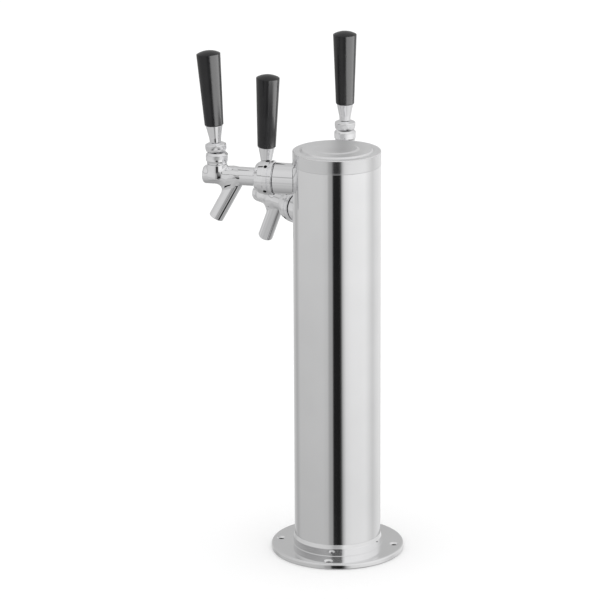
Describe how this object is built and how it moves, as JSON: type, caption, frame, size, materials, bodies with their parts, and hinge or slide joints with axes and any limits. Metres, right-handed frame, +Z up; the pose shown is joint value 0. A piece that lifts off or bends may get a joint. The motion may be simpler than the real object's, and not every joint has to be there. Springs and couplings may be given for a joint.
{
  "type": "beer tap tower",
  "caption": "Column draft beer tower: stainless tube on a round bolt-down flange, with chrome rear-closing faucets and black tapered handles that tilt to pour.",
  "frame": {"origin": "on the column's axis, at the counter plane under the flange", "axes": "+Z up along the column; the centre faucet points along -Y, and +X is its right-hand side seen from the column"},
  "size_m": [0.1657, 0.1785, 0.4458],
  "materials": {
    "stainless": "polished to a soft satin mirror",
    "chrome": "bright chrome plate",
    "black_plastic": "glossy black moulded plastic",
    "brass": "plain machined",
    "steel_inner": "machined",
    "rubber": "matte black",
    "nylon": "plain white nylon",
    "foam": "closed-cell insulation foam"
  },
  "bodies": {
    "tower": {"ball_washer_center": "nylon", "ball_washer_left": "nylon", "ball_washer_right": "nylon", "base_flange": "stainless", "base_gasket": "rubber", "bonnet_center": "chrome", "bonnet_left": "chrome", "bonnet_right": "chrome", "cap_seal": "rubber", "column_tube": "stainless", "coupling_nut_center": "chrome", "coupling_nut_left": "chrome", "coupling_nut_right": "chrome", "faucet_body_center": "chrome", "faucet_body_left": "chrome", "faucet_body_right": "chrome", "friction_washer_center": "nylon", "friction_washer_left": "nylon", "friction_washer_right": "nylon", "insulation_sleeve": "foam", "lock_nut_center": "brass", "lock_nut_left": "brass", "lock_nut_right": "brass", "saddle_washer_center": "steel_inner", "saddle_washer_left": "steel_inner", "saddle_washer_right": "steel_inner", "shank_center": "chrome", "shank_collar_center": "chrome", "shank_collar_left": "chrome", "shank_collar_right": "chrome", "shank_left": "chrome", "shank_right": "chrome", "tailpiece_center": "steel_inner", "tailpiece_left": "steel_inner", "tailpiece_nut_center": "brass", "tailpiece_nut_left": "brass", "tailpiece_nut_right": "brass", "tailpiece_right": "steel_inner"},
    "cap": {"top_cap": "stainless"},
    "lever_right": {"lever_right": "chrome", "lever_collar_right": "chrome", "ferrule_right": "chrome", "handle_right": "black_plastic"},
    "shaft_right": {"shaft_right": "brass", "seat_washer_right": "rubber", "shaft_nut_right": "brass"},
    "lever_center": {"lever_center": "chrome", "lever_collar_center": "chrome", "ferrule_center": "chrome", "handle_center": "black_plastic"},
    "shaft_center": {"shaft_center": "brass", "seat_washer_center": "rubber", "shaft_nut_center": "brass"},
    "lever_left": {"lever_left": "chrome", "lever_collar_left": "chrome", "ferrule_left": "chrome", "handle_left": "black_plastic"},
    "shaft_left": {"shaft_left": "brass", "seat_washer_left": "rubber", "shaft_nut_left": "brass"}
  },
  "joints": [
    {"name": "cap_lift", "type": "slide", "parent": "tower", "child": "cap", "axis": [0, 0, 1], "range_m": [0, 0.03]},
    {"name": "lever_pivot_right", "type": "hinge", "parent": "tower", "child": "lever_right", "pos_m": [0.06903, -0.08227, 0.3476], "axis": [0.766, 0.6428, 0], "range_deg": [0, 26]},
    {"name": "shaft_slide_right", "type": "slide", "parent": "tower", "child": "shaft_right", "axis": [-0.6428, 0.766, 0], "range_m": [0, 0.0072]},
    {"name": "lever_pivot_center", "type": "hinge", "parent": "tower", "child": "lever_center", "pos_m": [0, -0.1074, 0.3134], "axis": [1, 0, 0], "range_deg": [0, 32.6]},
    {"name": "shaft_slide_center", "type": "slide", "parent": "tower", "child": "shaft_center", "axis": [0, 1, 0], "range_m": [0, 0.0072]},
    {"name": "lever_pivot_left", "type": "hinge", "parent": "tower", "child": "lever_left", "pos_m": [-0.06903, -0.08227, 0.3476], "axis": [0.766, -0.6428, 0], "range_deg": [0, 31]},
    {"name": "shaft_slide_left", "type": "slide", "parent": "tower", "child": "shaft_left", "axis": [0.6428, 0.766, 0], "range_m": [0, 0.0072]}
  ],
  "couplings": [
    {"joint": "shaft_slide_right", "follows": "lever_pivot_right", "m_per_rad": 0.0117},
    {"joint": "shaft_slide_center", "follows": "lever_pivot_center", "m_per_rad": 0.0117},
    {"joint": "shaft_slide_left", "follows": "lever_pivot_left", "m_per_rad": 0.0117}
  ]
}
